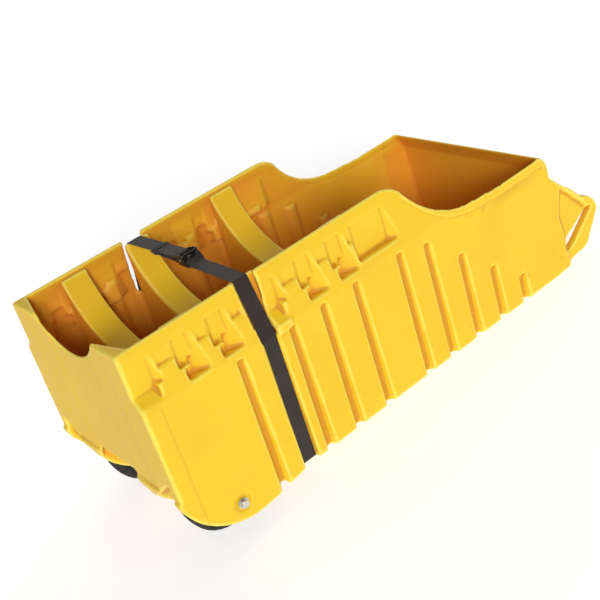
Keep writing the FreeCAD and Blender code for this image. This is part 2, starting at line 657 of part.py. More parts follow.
lean = Placement(Vector(0, 0, 0), Rotation(Vector(0, 1, 0), lean_angle()))
for piece in pieces:
    piece.Placement = lean.multiply(piece.Placement)
doc.recompute()
box = FreeCAD.BoundBox()
for piece in pieces:
    box.add(piece.Shape.optimalBoundingBox(False))
stand = Placement(Vector(-box.Center.x, 0, -box.ZMin), Rotation())
for piece in pieces:
    piece.Placement = stand.multiply(piece.Placement)
doc.recompute()

os.makedirs("parts", exist_ok=True)
for piece in pieces:
    piece.Shape.exportStep("parts/%s.step" % piece.Label)
    print(piece.Label, "%.1f cm3" % (piece.Shape.Volume / 1000))
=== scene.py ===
import json
import math

import bpy
import bmesh
import numpy as np
from mathutils import Matrix, Vector
from mathutils.bvhtree import BVHTree


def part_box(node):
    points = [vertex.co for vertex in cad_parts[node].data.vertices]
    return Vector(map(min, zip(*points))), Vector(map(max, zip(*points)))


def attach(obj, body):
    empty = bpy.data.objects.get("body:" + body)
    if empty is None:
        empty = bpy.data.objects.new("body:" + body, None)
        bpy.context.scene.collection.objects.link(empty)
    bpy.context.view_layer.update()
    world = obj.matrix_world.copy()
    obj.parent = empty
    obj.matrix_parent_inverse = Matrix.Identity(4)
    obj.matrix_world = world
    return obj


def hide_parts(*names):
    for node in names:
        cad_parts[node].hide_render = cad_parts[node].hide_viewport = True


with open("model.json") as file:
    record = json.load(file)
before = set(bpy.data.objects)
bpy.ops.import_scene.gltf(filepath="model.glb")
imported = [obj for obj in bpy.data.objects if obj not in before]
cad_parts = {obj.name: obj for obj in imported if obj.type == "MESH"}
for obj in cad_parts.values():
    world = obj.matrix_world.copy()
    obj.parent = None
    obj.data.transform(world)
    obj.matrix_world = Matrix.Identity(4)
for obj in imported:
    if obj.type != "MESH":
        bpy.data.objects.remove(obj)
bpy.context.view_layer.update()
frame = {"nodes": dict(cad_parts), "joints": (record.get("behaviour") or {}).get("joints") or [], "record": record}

# The CAD frame is the dolly standing on its wheels and skid.  Most shapes here are easier in the tub's
# own frame: X from the wheel end to the handles, Z up from the flat of its floor, no lean.
JOINTS = {joint["name"]: joint for joint in frame["joints"]}
# the axle's place in the tub's frame, which with the lean ties that frame to the CAD frame
AXLE_X, AXLE_Z = 0.175, 0.033
hinge = Vector(JOINTS["cam_release"]["axis"])
lean = Matrix.Rotation(math.atan2(-hinge.z, hinge.x), 4, "Y")
axle_at = Vector(JOINTS["wheel_spin_left"]["pos_m"])
axle_at.y = 0
TO_ROW = Matrix.Translation(axle_at - lean @ Vector((AXLE_X, 0, AXLE_Z))) @ lean
SIDES = {"left": 1, "right": -1}


def tub_box(node):
    """A CAD node's lowest and highest corner in the tub's frame."""
    back = TO_ROW.inverted()
    corners = np.array([back @ v.co for v in frame["nodes"][node].data.vertices])
    return Vector(corners.min(0)), Vector(corners.max(0))


# ---------------------------------------------------------------- material nodes

def add(tree, kind, inputs=None, **settings):
    """A shader node; each input is a number, a colour, or another node's output socket."""
    made = tree.nodes.new("ShaderNode" + kind)
    for key, value in settings.items():
        setattr(made, key, value)
    for key, value in (inputs or {}).items():
        if isinstance(value, bpy.types.NodeSocket):
            tree.links.new(value, made.inputs[key])
        else:
            made.inputs[key].default_value = value
    return made


def shader(name, **values):
    """A Principled material and its node tree; underscores stand for spaces in the inputs' names."""
    made = bpy.data.materials.new(name)
    made.use_nodes = True
    tree = made.node_tree
    surface = tree.nodes["Principled BSDF"]
    for key, value in values.items():
        surface.inputs[key.replace("_", " ")].default_value = value
    return made, tree, surface


def noise(tree, scale, detail=3.0, roughness=0.55, vector=None):
    """A noise texture in the object's own metres; scale is in cycles per metre."""
    if vector is None:
        vector = add(tree, "TexCoord").outputs["Object"]
    inputs = {"Vector": vector, "Scale": scale, "Detail": detail, "Roughness": roughness}
    return add(tree, "TexNoise", inputs).outputs["Fac"]


def ramp(tree, value, low, high, out_low=0.0, out_high=1.0):
    """Maps low..high of a value to out_low..out_high, clamped and smooth."""
    inputs = {"Value": value, "From Min": low, "From Max": high, "To Min": out_low, "To Max": out_high}
    return add(tree, "MapRange", inputs, interpolation_type="SMOOTHSTEP").outputs["Result"]


def blend(tree, share, first, second, mode="MIX"):
    """A colour between first and second."""
    made = add(tree, "Mix", data_type="RGBA", blend_type=mode)
    for socket, value in zip((made.inputs[0], made.inputs[6], made.inputs[7]), (share, first, second)):
        if isinstance(value, bpy.types.NodeSocket):
            tree.links.new(value, socket)
        else:
            socket.default_value = value
    return made.outputs[2]


def maths(tree, operation, first, second=0.0):
    """A number worked out by one Math node."""
    return add(tree, "Math", {0: first, 1: second}, operation=operation).outputs[0]


def bump(tree, height, distance, strength=1.0, normal=None):
    """A normal tilted by a height; distance is what a height of 1 stands for, in metres."""
    inputs = {"Height": height, "Distance": distance, "Strength": strength}
    if normal is not None:
        inputs["Normal"] = normal
    return add(tree, "Bump", inputs).outputs["Normal"]


def join(tree, surface, **sockets):
    """Links sockets to the surface's inputs; underscores stand for spaces in the inputs' names."""
    for key, socket in sockets.items():
        tree.links.new(socket, surface.inputs[key.replace("_", " ")])


# ---------------------------------------------------------------- materials

def moulded_polyethylene():
    """Rotomoulded yellow polyethylene: waxy and faintly mottled, with a painted highlight along
    its convex edges, painted shade in its creases, and painted orange shade where the tub closes round it."""
    made, tree, surface = shader("tub_plastic", Specular_IOR_Level=0.28)
    deep, body = (0.81, 0.44, 0.010, 1), (0.85, 0.555, 0.014, 1)
    # the next row: a painted crease shade, a pale tone for the speckles and the painted edge highlight, and a
    # painted orange shade for enclosed places
    sunk, pale, painted_inner_shade = (0.62, 0.28, 0.010, 1), (0.94, 0.80, 0.14, 1), (0.82, 0.30, 0.035, 1)
    edge_relief = add(tree, "Attribute", attribute_name="edge").outputs["Fac"]
    closed_in = add(tree, "Attribute", attribute_name="inside").outputs["Fac"]
    mottle = ramp(tree, noise(tree, 4.0, 4.0), 0.3, 0.7)
    colour = blend(tree, maths(tree, "MULTIPLY", mottle, 0.35), body, deep)
    speckle = ramp(tree, noise(tree, 260.0, 2.0), 0.35, 0.75)
    colour = blend(tree, maths(tree, "MULTIPLY", speckle, 0.10), colour, pale)
    # painted highlight: paler along convex edges, where a rounded edge would catch the light
    colour = blend(tree, ramp(tree, edge_relief, 0.12, 0.60, 0.0, 0.55), colour, pale)
    # painted shade: darker orange in creases and hollows, where the surface sinks into its surroundings
    colour = blend(tree, ramp(tree, edge_relief, -0.07, -0.5, 0.0, 0.95), colour, sunk)
    # painted shade: orange where the tub closes round a point, as its shadows and bounced light would tint it
    colour = blend(tree, ramp(tree, closed_in, 0.15, 1.0, 0.0, 0.90), colour, painted_inner_shade)
    scuffs = noise(tree, 38.0, 6.0, 0.7)
    height = add(tree, "SeparateXYZ", {0: add(tree, "TexCoord").outputs["Object"]}).outputs["Z"]
    low_down = ramp(tree, height, 0.30, 0.03)
    grime = maths(tree, "MULTIPLY", ramp(tree, scuffs, 0.56, 0.74, 0.0, 0.35), low_down)
    colour = blend(tree, grime, colour, (0.30, 0.16, 0.05, 1))
    rough = ramp(tree, noise(tree, 55.0, 5.0, 0.65), 0.3, 0.7, 0.40, 0.54)
    grain = bump(tree, noise(tree, 900.0, 2.0), 0.0004, 0.35)
    ripple = bump(tree, noise(tree, 16.0, 2.0), 0.004, 0.22, grain)
    join(tree, surface, Base_Color=colour, Roughness=rough, Normal=ripple)
    return made


def rubber():
    """Black solid rubber with dust on the tread and mould grain."""
    made, tree, surface = shader("tyre_rubber", Specular_IOR_Level=0.35)
    dusty = ramp(tree, noise(tree, 45.0, 5.0, 0.65), 0.45, 0.75, 0.0, 0.35)
    colour = blend(tree, dusty, (0.018, 0.018, 0.019, 1), (0.10, 0.085, 0.07, 1))
    rough = ramp(tree, noise(tree, 90.0), 0.3, 0.7, 0.62, 0.85)
    join(tree, surface, Base_Color=colour, Roughness=rough,
         Normal=bump(tree, noise(tree, 1400.0, 2.0), 0.0003, 0.4))
    return made


def hard_plastic(name, colour, scratched, rough):
    """An injection-moulded plastic with fine spark texture and light scratches."""
    made, tree, surface = shader(name)
    scratch = ramp(tree, noise(tree, 120.0, 6.0, 0.75), 0.55, 0.75, 0.0, 0.35)
    join(tree, surface, Base_Color=blend(tree, scratch, colour, scratched),
         Roughness=ramp(tree, noise(tree, 70.0), 0.3, 0.7, rough - 0.07, rough + 0.1),
         Normal=bump(tree, noise(tree, 1800.0, 1.0), 0.0002, 0.3))
    return made


def zinc():
    """Bright zinc plating with its faint blue and yellow blotches."""
    made, tree, surface = shader("zinc_steel", Metallic=1.0)
    blotch = ramp(tree, noise(tree, 160.0, 4.0), 0.35, 0.7)
    colour = blend(tree, blotch, (0.60, 0.62, 0.68, 1), (0.74, 0.71, 0.62, 1))
    dull = ramp(tree, noise(tree, 420.0, 5.0, 0.7), 0.6, 0.8, 0.0, 0.6)
    colour = blend(tree, dull, colour, (0.22, 0.20, 0.18, 1))
    join(tree, surface, Base_Color=colour,
         Roughness=ramp(tree, noise(tree, 300.0, 4.0), 0.3, 0.7, 0.24, 0.42),
         Normal=bump(tree, noise(tree, 1500.0, 3.0), 0.00015, 0.35))
    return made


def spring_wire():
    """Oiled bright spring wire, drawn along its length."""
    made, tree, surface = shader("spring_steel", Metallic=1.0)
    stain = ramp(tree, noise(tree, 600.0, 4.0), 0.45, 0.75)
    join(tree, surface, Base_Color=blend(tree, stain, (0.55, 0.55, 0.56, 1), (0.25, 0.20, 0.14, 1)),
         Roughness=ramp(tree, noise(tree, 900.0), 0.3, 0.7, 0.2, 0.4))
    return made


def black_steel():
    """Black powder-coated steel, rubbed to bare metal along its edges."""
    made, tree, surface = shader("black_steel")
    edge = add(tree, "NewGeometry").outputs["Pointiness"]
    sharp = ramp(tree, edge, 0.53, 0.60)
    rubbed = maths(tree, "MULTIPLY", sharp, ramp(tree, noise(tree, 260.0, 4.0), 0.40, 0.62))
    join(tree, surface, Base_Color=blend(tree, rubbed, (0.016, 0.016, 0.018, 1), (0.42, 0.41, 0.40, 1)),
         Metallic=rubbed, Roughness=ramp(tree, noise(tree, 500.0), 0.3, 0.7, 0.30, 0.46),
         Normal=bump(tree, noise(tree, 1300.0, 2.0), 0.00025, 0.4))
    return made


def woven(name, colour, light, along, across, sheen):
    """Webbing, from its UV map in metres: ribs of warp with weft bars between them, and a soft sheen;
    along and across are the weave's pitches."""
    made, tree, surface = shader(name, Sheen_Weight=sheen, Sheen_Roughness=0.45, Specular_IOR_Level=0.25)
    surface.inputs["Sheen Tint"].default_value = (0.75, 0.72, 0.70, 1)
    place = add(tree, "SeparateXYZ", {0: add(tree, "UVMap", uv_map="weave").outputs["UV"]})
    turns = [maths(tree, "MULTIPLY", place.outputs[axis], 2 * math.pi / pitch)
             for axis, pitch in (("X", across), ("Y", along))]
    warp = maths(tree, "SINE", turns[0])
    # neighbouring ribs are half a bar out of step
    step = maths(tree, "MULTIPLY", maths(tree, "SIGN", warp), math.pi / 2)
    weft = maths(tree, "SINE", maths(tree, "ADD", turns[1], step))
    height = maths(tree, "ADD", maths(tree, "ABSOLUTE", warp), maths(tree, "MULTIPLY", weft, 0.6))
    fuzz = noise(tree, 700.0, 3.0)
    faded = maths(tree, "MULTIPLY", ramp(tree, noise(tree, 9.0, 4.0), 0.35, 0.7), 0.5)
    shade = blend(tree, faded, colour, light)
    # painted shade: near black where the weave lies low, between its ribs and bars
    shade = blend(tree, ramp(tree, height, 1.3, -0.2, 0.0, 0.7), shade, (0.006, 0.005, 0.005, 1))
    join(tree, surface, Base_Color=shade, Roughness=ramp(tree, fuzz, 0.3, 0.7, 0.6, 0.85),
         Normal=bump(tree, fuzz, 0.0002, 0.4, bump(tree, height, 0.0004, 0.9)))
    return made


def stitching():
    """Waxed thread, a little paler than the webbing that it sews."""
    made, tree, surface = shader("thread", Sheen_Weight=0.3)
    twist = add(tree, "TexWave", {"Vector": add(tree, "TexCoord").outputs["Object"], "Scale": 900.0},
                bands_direction="DIAGONAL").outputs["Fac"]
    join(tree, surface, Base_Color=blend(tree, twist, (0.10, 0.085, 0.08, 1), (0.22, 0.19, 0.17, 1)),
         Roughness=ramp(tree, twist, 0.0, 1.0, 0.5, 0.7), Normal=bump(tree, twist, 0.0002, 0.5))
    return made


MATERIALS = {
    "tub_plastic": moulded_polyethylene(),
    "tyre_rubber": rubber(),
    "hub_plastic": hard_plastic("hub_plastic", (0.022, 0.022, 0.024, 1), (0.11, 0.11, 0.11, 1), 0.42),
    "zinc_steel": zinc(),
    "bush_nylon": hard_plastic("bush_nylon", (0.72, 0.70, 0.62, 1), (0.42, 0.38, 0.30, 1), 0.45),
    "spacer_plastic": hard_plastic("spacer_plastic", (0.035, 0.035, 0.035, 1), (0.12, 0.12, 0.12, 1), 0.5),
    "webbing": woven("webbing", (0.030, 0.019, 0.015, 1), (0.058, 0.043, 0.037, 1), 0.0032, 0.0028, 0.28),
    "black_steel": black_steel(),
    "spring_steel": spring_wire(),
    "elastic": woven("elastic", (0.022, 0.022, 0.023, 1), (0.05, 0.05, 0.05, 1), 0.0012, 0.0026, 0.3),
}
THREAD = stitching()


# ---------------------------------------------------------------- mesh helpers

def piece(name, mesh, slot, body, replaces=(), material=None):
    """Puts a finished mesh in the scene, on its body, in its material slot."""
    made = bpy.data.objects.new(name, mesh)
    bpy.context.scene.collection.objects.link(made)
    mesh.materials.clear()
    mesh.materials.append(material or MATERIALS[slot])
    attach(made, body)
    if replaces:
        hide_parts(*replaces)
    return made


def with_modifiers(mesh, *steps):
    """A mesh put through modifiers, each given as (type, settings)."""
    worker = bpy.data.objects.new("worker", mesh)
    bpy.context.scene.collection.objects.link(worker)
    for kind, settings in steps:
        modifier = worker.modifiers.new(kind.lower(), kind)
        for key, value in settings.items():
            setattr(modifier, key, value)
    graph = bpy.context.evaluated_depsgraph_get()
    result = bpy.data.meshes.new_from_object(worker.evaluated_get(graph), depsgraph=graph)
    bpy.data.objects.remove(worker)
    return result


def mesh_from(name, points, faces):
    """A smooth-shaded mesh."""
    mesh = bpy.data.meshes.new(name)
    mesh.from_pydata([tuple(p) for p in points], [], faces)
    mesh.validate()
    mesh.shade_smooth()
    return mesh


SHARP_ANGLE = 35.0


def crisp(mesh):
    """Smooth shading with sharp edges kept."""
    mesh.shade_smooth()
    shape = bmesh.new()
    shape.from_mesh(mesh)
    for edge in shape.edges:
        edge.smooth = not (edge.is_manifold and edge.calc_face_angle() > math.radians(SHARP_ANGLE))
    shape.to_mesh(mesh)
    shape.free()
    return mesh


def coordinates(mesh):
    """The vertices' places, one row each."""
    values = np.empty(len(mesh.vertices) * 3)
    mesh.vertices.foreach_get("co", values)
    return values.reshape(-1, 3)


# ---------------------------------------------------------------- tub

TUB_VOXEL = 0.0046
TUB_FACES = 190000

# The mould's shallow panels, in the tub's frame.  Each pair says where a change starts and is complete.
END_FACE = (0.014, 0.009)
END_STEPS = ((0.238, 0.224), (0.128, 0.114))
SIDE_FACE, SIDE_TOP = (0.338, 0.342), (0.46, 0.44)
SIDE_START, SIDE_END = (0.046, 0.058), (0.30, 0.24)
LIP_FOOT, LIP_START, LIP_END, LIP_FACE = (0.030, 0.022), (0.99, 1.03), (1.612, 1.600), (0.305, 0.312)
END_SINK, SIDE_SINK, LIP_RISE = 0.0020, 0.0022, 0.0022
OUTSIDE, RIM_STATIONS = 0.300, 120

# how far a vertex stands out of its surroundings where it counts as a full edge, and how widely
# the surroundings and the enclosure are averaged, in steps from vertex to vertex
EDGE_HEIGHT, EDGE_STEPS, INSIDE_STEPS = 0.0016, 6, 16
FAN_RAYS, FAN_REACH, FAN_LIFT = 6, 1.0, 0.004


def smoothed(values, edges, times):
    """Each vertex's row of values mixed half and half with its neighbours', several times over."""
    count = np.bincount(edges.ravel(), minlength=len(values))[:, None]
    spread = values.copy()
    for _ in range(times):
        total = np.zeros_like(spread)
        np.add.at(total, edges[:, 0], spread[edges[:, 1]])
        np.add.at(total, edges[:, 1], spread[edges[:, 0]])
        spread = 0.5 * spread + 0.5 * total / count
    return spread


def enclosure(mesh):
    """The share of a fan of rays, along and round each vertex's normal, that meet the tub again."""
    polygons = [tuple(p.vertices) for p in mesh.polygons]
    shape = BVHTree.FromPolygons([v.co for v in mesh.vertices], polygons)
    turns = [2 * math.pi * k / FAN_RAYS for k in range(FAN_RAYS)]
    met = np.zeros((len(mesh.vertices), 1))
    for k, vertex in enumerate(mesh.vertices):
        normal = vertex.normal
        beside = normal.orthogonal().normalized()
        above = normal.cross(beside)
        fan = [normal + beside * math.cos(turn) + above * math.sin(turn) for turn in turns]
        start = vertex.co + normal * FAN_LIFT
        for ray in [normal] + fan:
            met[k] += shape.ray_cast(start, ray.normalized(), FAN_REACH)[0] is not None
    return met / (FAN_RAYS + 1)


def edge_list(mesh):
    """The two vertices of each edge, one row each."""
    values = np.empty(len(mesh.edges) * 2, int)
    mesh.edges.foreach_get("vertices", values)
    return values.reshape(-1, 2)


def fade(value, start, end):
    """0 at start, 1 at end, clamped and smooth."""
    share = np.clip((value - start) / (end - start), 0, 1)
    return share * share * (3 - 2 * share)


def panel_creases(points):
    """The mould's shallow panels: the end wall's middle is sunk, the sides sink behind its corners,
    and a soft lip runs along the rim of the open well."""
    x, y, z = points.T
    across = np.abs(y)
    points[:, 0] += fade(x, *END_FACE) * sum(fade(across, *step) for step in END_STEPS) * END_SINK
    on_side = fade(across, *SIDE_FACE) * fade(z, *SIDE_TOP) * fade(x, *SIDE_START) * fade(x, *SIDE_END)
    points[:, 1] -= np.sign(y) * on_side * SIDE_SINK
    outer = across > OUTSIDE
    stations = np.linspace(x.min(), x.max(), RIM_STATIONS)
    nearest = np.round((x - stations[0]) / (stations[1] - stations[0])).astype(int)
    rim = np.full(len(stations), -1.0)
    np.maximum.at(rim, nearest[outer], z[outer])
    rim[2:-2] = sum(rim[k:len(rim) - 4 + k] for k in range(5)) / 5
    below_rim = np.interp(x, stations, rim) - z
    on_lip = fade(below_rim, *LIP_FOOT) * fade(x, *LIP_START) * fade(x, *LIP_END) * outer
    points[:, 1] += np.sign(y) * on_lip * fade(across, *LIP_FACE) * LIP_RISE


def make_tub():
    """The CAD tub with its edges rounded as a mould rounds them, and with its shallow panels."""
    mesh = frame["nodes"]["tub"].data.copy()
    mesh.transform(TO_ROW.inverted())
    mesh = with_modifiers(mesh, ("WELD", {"merge_threshold": 1e-5}),
                          ("REMESH", {"mode": "VOXEL", "voxel_size": TUB_VOXEL}),
                          ("SMOOTH", {"factor": 0.5, "iterations": 7}))
    points = coordinates(mesh)
    panel_creases(points)
    mesh.vertices.foreach_set("co", points.ravel())
    mesh.update()
    normals = np.empty(len(points) * 3)
    mesh.vertices.foreach_get("normal", normals)
    # how far each vertex stands out of (positive) or sinks into (negative) its surroundings
    standing = points - smoothed(points, edge_list(mesh), EDGE_STEPS)
    sharp = (standing * normals.reshape(-1, 3)).sum(1) / EDGE_HEIGHT
    # the material paints a highlight where a vertex stands out and shade where it sinks in
    mesh.attributes.new("edge", "FLOAT", "POINT").data.foreach_set("value", np.clip(sharp, -1, 1))
    triangles = sum(len(p.vertices) - 2 for p in mesh.polygons)
    if triangles > TUB_FACES:
        mesh = with_modifiers(mesh, ("DECIMATE", {"ratio": TUB_FACES / triangles}))
    # how closed in each vertex is; the material paints orange shade by this share
    inside = smoothed(enclosure(mesh), edge_list(mesh), INSIDE_STEPS).ravel()
    mesh.attributes.new("inside", "FLOAT", "POINT").data.foreach_set("value", inside)
    mesh.transform(TO_ROW)
    mesh.shade_smooth()
    return piece("tub_shell", mesh, "tub_plastic", "dolly", ["tub"])


# ---------------------------------------------------------------- turned pieces

def turned(name, rings, at, columns):
    """A closed mesh round the Y axis: each ring has every column's angle and its (radius, y)."""
    points = []
    for angles, places in rings:
        for angle, (radius, y) in zip(angles, places):
            points.append((at.x + radius * math.sin(angle), at.y + y, at.z + radius * math.cos(angle)))
    faces = []
    for row in range(len(rings)):
        after = (row + 1) % len(rings)
        for column in range(columns):
            beside = (column + 1) % columns
            faces.append((row * columns + column, row * columns + beside,
                          after * columns + beside, after * columns + column))
    return crisp(mesh_from(name, points, faces))


def even_angles(columns):
    return [2 * math.pi * k / columns for k in range(columns)]


TYRE_RADIUS, TYRE_HALF, RIM_RADIUS = 0.128, 0.039, 0.092
TREAD_HALF, TREAD_BARS, BAR_DEPTH, BARS_FROM = 0.0245, 36, 0.0026, 0.0195
GROOVES, GROOVE_DEPTH, GROOVE_HALF = (0.0085, 0.0170), 0.0030, 0.0019
TREAD_FALL, WALL_RADIUS, BEAD_RADIUS = 0.0016, 0.1100, 0.0935
# how finely the tread, its shoulder and the side wall are divided, and how far the bars run down
TREAD_STEPS, SHOULDER_STEPS, WALL_STEPS, BAR_STEPS = 80, 14, 8, 7
# each bar and the gap after it have this many columns, the gap's being the first of them
BAR_COLUMNS, GAP_COLUMNS = 8, 2


def tyre_profile():
    """(radius, y) from one bead over the tread to the other; True where the tread's bars are cut."""
    outer = []
    for k in range(TREAD_STEPS + 1):
        y = -TREAD_HALF + 2 * TREAD_HALF * k / TREAD_STEPS
        crown = TYRE_RADIUS - TREAD_FALL * (y / TREAD_HALF) ** 2
        off_groove = min(abs(abs(y) - groove) for groove in GROOVES)
        depth = GROOVE_DEPTH * max(0.0, 1 - (off_groove / GROOVE_HALF) ** 4)
        outer.append((crown - depth, y, abs(y) > BARS_FROM))
    wall = []
    for k in range(1, SHOULDER_STEPS + 1):
        turn = math.radians(90 * k / SHOULDER_STEPS)
        y = TREAD_HALF + (TYRE_HALF - TREAD_HALF) * math.sin(turn)
        radius = WALL_RADIUS + (TYRE_RADIUS - TREAD_FALL - WALL_RADIUS) * math.cos(turn)
        wall.append((radius, y, k < BAR_STEPS))
    for k in range(1, WALL_STEPS + 1):
        share = k / WALL_STEPS
        ridge = 0.0007 * math.exp(-((share - 0.35) / 0.10) ** 2)
        y = TYRE_HALF - 0.0008 - 0.0052 * share ** 2 + ridge
        wall.append((WALL_RADIUS - share * 0.0150, y, False))
    wall += [(BEAD_RADIUS, TYRE_HALF - 0.0078, False), (RIM_RADIUS, TYRE_HALF - 0.0105, False)]
    near = [(radius, -y, bar) for radius, y, bar in reversed(wall)]
    return near + outer + wall


def make_tyre(side):
    """A solid tyre: two grooves each side of its middle, and bars cut across its shoulders."""
    low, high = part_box("tyre_" + side)
    columns = TREAD_BARS * BAR_COLUMNS
    angles = even_angles(columns)
    rings = []
    for radius, y, cut in tyre_profile():
        # the two shoulders' bars are half a bar out of step
        shift = GAP_COLUMNS if y > 0 else GAP_COLUMNS + BAR_COLUMNS // 2
        gaps = [cut and (k + shift) % BAR_COLUMNS < GAP_COLUMNS for k in range(columns)]
        rings.append((angles, [(radius - BAR_DEPTH * gap, y) for gap in gaps]))
    mesh = turned("tyre", rings, (low + high) / 2, columns)
    piece("tyre_tread_" + side, mesh, "tyre_rubber", "wheel_" + side, ["tyre_" + side])


HUB_RIBS, RIB_HALF, RIB_FLARE, RIB_REACH, DISC_HALF = 10, 0.0026, 0.0012, 0.0150, 0.009
BORE, BOSS_RADIUS, BOSS_HALF, RIM_INSIDE, RIM_HALF = 0.01405, 0.030, 0.040, 0.083, 0.036
DISC_INSIDE, DISC_WIDTH, DISC_STEPS = 0.036, 0.044, 8


def hub_angles(radius):
    """Columns of constant-width ribs: five across each rib, four between it and the next."""
    pitch = 2 * math.pi / HUB_RIBS
    edge, foot = (math.asin(min(0.9, width / radius)) for width in (RIB_HALF, RIB_HALF + RIB_FLARE))
    angles = []
    for rib in range(HUB_RIBS):
        middle = rib * pitch
        angles += [middle - foot, middle - edge, middle, middle + edge, middle + foot]
        gap = pitch - 2 * foot
        angles += [middle + foot + gap * k / 5 for k in range(1, 5)]
    return angles


def make_hub(side):
    """A moulded hub: boss, disc and rim, with ribs that stand on both faces of the disc."""
    low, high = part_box("wheel_hub_" + side)
    ribbed = [False, True, True, True, False] + [False] * 4
    # (radius, y, 1 where the ribs stand), from the bore out to the rim, for one face
    half = [(BORE, BOSS_HALF - 0.0010, 0), (BORE + 0.0010, BOSS_HALF, 0),
            (BOSS_RADIUS - 0.0015, BOSS_HALF, 0), (BOSS_RADIUS, BOSS_HALF - 0.0015, 0),
            (BOSS_RADIUS, DISC_HALF + 0.0170, 0),
            (BOSS_RADIUS + 0.0004, DISC_HALF + 0.0030, 1), (BOSS_RADIUS + 0.0035, DISC_HALF, 1)]
    half += [(DISC_INSIDE + DISC_WIDTH * k / DISC_STEPS, DISC_HALF, 1) for k in range(DISC_STEPS + 1)]
    half += [(RIM_INSIDE - 0.0008, DISC_HALF + 0.0022, 1), (RIM_INSIDE, DISC_HALF + 0.0180, 0),
             (RIM_INSIDE + 0.0006, RIM_HALF - 0.0014, 0), (RIM_INSIDE + 0.0020, RIM_HALF, 0),
             (RIM_RADIUS - 0.0018, RIM_HALF, 0), (RIM_RADIUS - 0.0003, RIM_HALF - 0.0012, 0),
             (RIM_RADIUS - 0.0003, 0.0300, 0)]
    rings = []
    columns = len(ribbed) * HUB_RIBS
    for sign, rows in ((1, half), (-1, list(reversed(half)))):
        for radius, y, rib in rows:
            raised = [y + RIB_REACH * (rib and ribbed[k % len(ribbed)]) for k in range(columns)]
            rings.append((hub_angles(radius), [(radius, sign * value) for value in raised]))
    mesh = turned("hub", rings, (low + high) / 2, columns)
    piece("ribbed_hub_" + side, mesh, "hub_plastic", "wheel_" + side, ["wheel_hub_" + side])


BOLT_APOTHEM, BOLT_HEAD, SHANK_RADIUS, BOLT_COLUMNS = 0.012, 0.010, 0.006, 72
# (height over the seat, largest radius) up the head's side, over its chamfer and into its dished top
HEAD_PROFILE = ((0.0, 0.0150), (0.0004, 0.0160), (0.0082, 0.0160), (0.0086, 0.0136), (0.0093, 0.0128),
                (0.0099, 0.0117), (BOLT_HEAD, 0.0108), (0.0096, 0.0090), (0.0094, 0.0040),
                (0.0094, 0.0004))
THREAD_LOW, THREAD_LENGTH, THREAD_DEPTH, THREAD_STEPS = -0.0300, 0.0205, 0.0006, 56


def hexagon(angle):
    """The radius of the head's outline at an angle."""
    return BOLT_APOTHEM / math.cos((angle + math.pi / 6) % (math.pi / 3) - math.pi / 6)


def make_bolt(side):
    """A hexagon bolt: chamfered head with a dished top, plain neck and rolled thread."""
    low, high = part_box("axle_bolt_" + side)
    sign = SIDES[side]
    seat = high.y - BOLT_HEAD if sign > 0 else low.y + BOLT_HEAD
    angles = even_angles(BOLT_COLUMNS)
    rings = [(angles, [(min(limit, hexagon(angle)), sign * y) for angle in angles])
             for y, limit in HEAD_PROFILE]
    shank = [(0.0004, THREAD_LOW)]
    for k in range(THREAD_STEPS + 1):
        groove = THREAD_DEPTH * (0.5 + 0.5 * math.cos(math.pi * k))
        point = 0.0008 * (k < 3)
        shank.append((SHANK_RADIUS - groove - point, THREAD_LOW + THREAD_LENGTH * k / THREAD_STEPS))
    shank += [(SHANK_RADIUS, -0.0090), (SHANK_RADIUS, 0.0)]
    rings = [(angles, [(radius, sign * y)] * BOLT_COLUMNS) for radius, y in shank] + rings
    if sign > 0:
        rings.reverse()
    centre = Vector(((low.x + high.x) / 2, seat, (low.z + high.z) / 2))
    mesh = turned("bolt", rings, centre, BOLT_COLUMNS)
    piece("hex_bolt_" + side, mesh, "zinc_steel", "dolly", ["axle_bolt_" + side])


# ---------------------------------------------------------------- strap

STRAP_LOW, STRAP_HIGH = tub_box("strap_webbing")
STRAP_X = (STRAP_LOW.x + STRAP_HIGH.x) / 2
WEB_HALF = (STRAP_HIGH.x - STRAP_LOW.x) / 2
WEB_THICK = 0.002
# the run across the tub lies on the saddle's ears; the buckle's bar lifts its left half
EAR_Y, EAR_Z, LEDGE_Z, TAIL_Y = 0.2905, 0.62205, 0.436, 0.150
BAR_Z, BAR_RADIUS, HEM_Y, HEM_MEET = 0.634, 0.0041, 0.062, 0.024
LIFT_Y = EAR_Y - 0.014
LIFT_SLOPE = (EAR_Z - BAR_Z - BAR_RADIUS) / LIFT_Y
# the longest step round a fold and along a straight run of webbing
FOLD_STEP, RUN_STEP = 0.0008, 0.012


def rounded_route(corners, radii, step):
    """Points along straight runs joined by arcs, with no two points more than a step apart."""
    route = [Vector(corners[0])]
    for before, corner, after, radius in zip(corners, corners[1:], corners[2:], radii):
        corner = Vector(corner)
        into, out = (corner - Vector(before)).normalized(), (Vector(after) - corner).normalized()
        turn = into.angle(out)
        cut = radius * math.tan(turn / 2)
        start = corner - into * cut
        side = 1 if into.cross(out) > 0 else -1
        centre = start + Vector((-into.y, into.x)) * radius * side
        pieces = max(3, int(turn * radius / FOLD_STEP))
        for k in range(pieces + 1):
            angle = side * turn * k / pieces
            arm = start - centre
            route.append(centre + Vector((arm.x * math.cos(angle) - arm.y * math.sin(angle),
                                          arm.x * math.sin(angle) + arm.y * math.cos(angle))))
    route.append(Vector(corners[-1]))
    filled = [route[0]]
    for point in route[1:]:
        gap = (point - filled[-1]).length
        if gap < 1e-5:
            continue
        first, count = filled[-1].copy(), int(gap / step) + 1
        filled += [first.lerp(point, k / count) for k in range(1, count + 1)]
    return filled


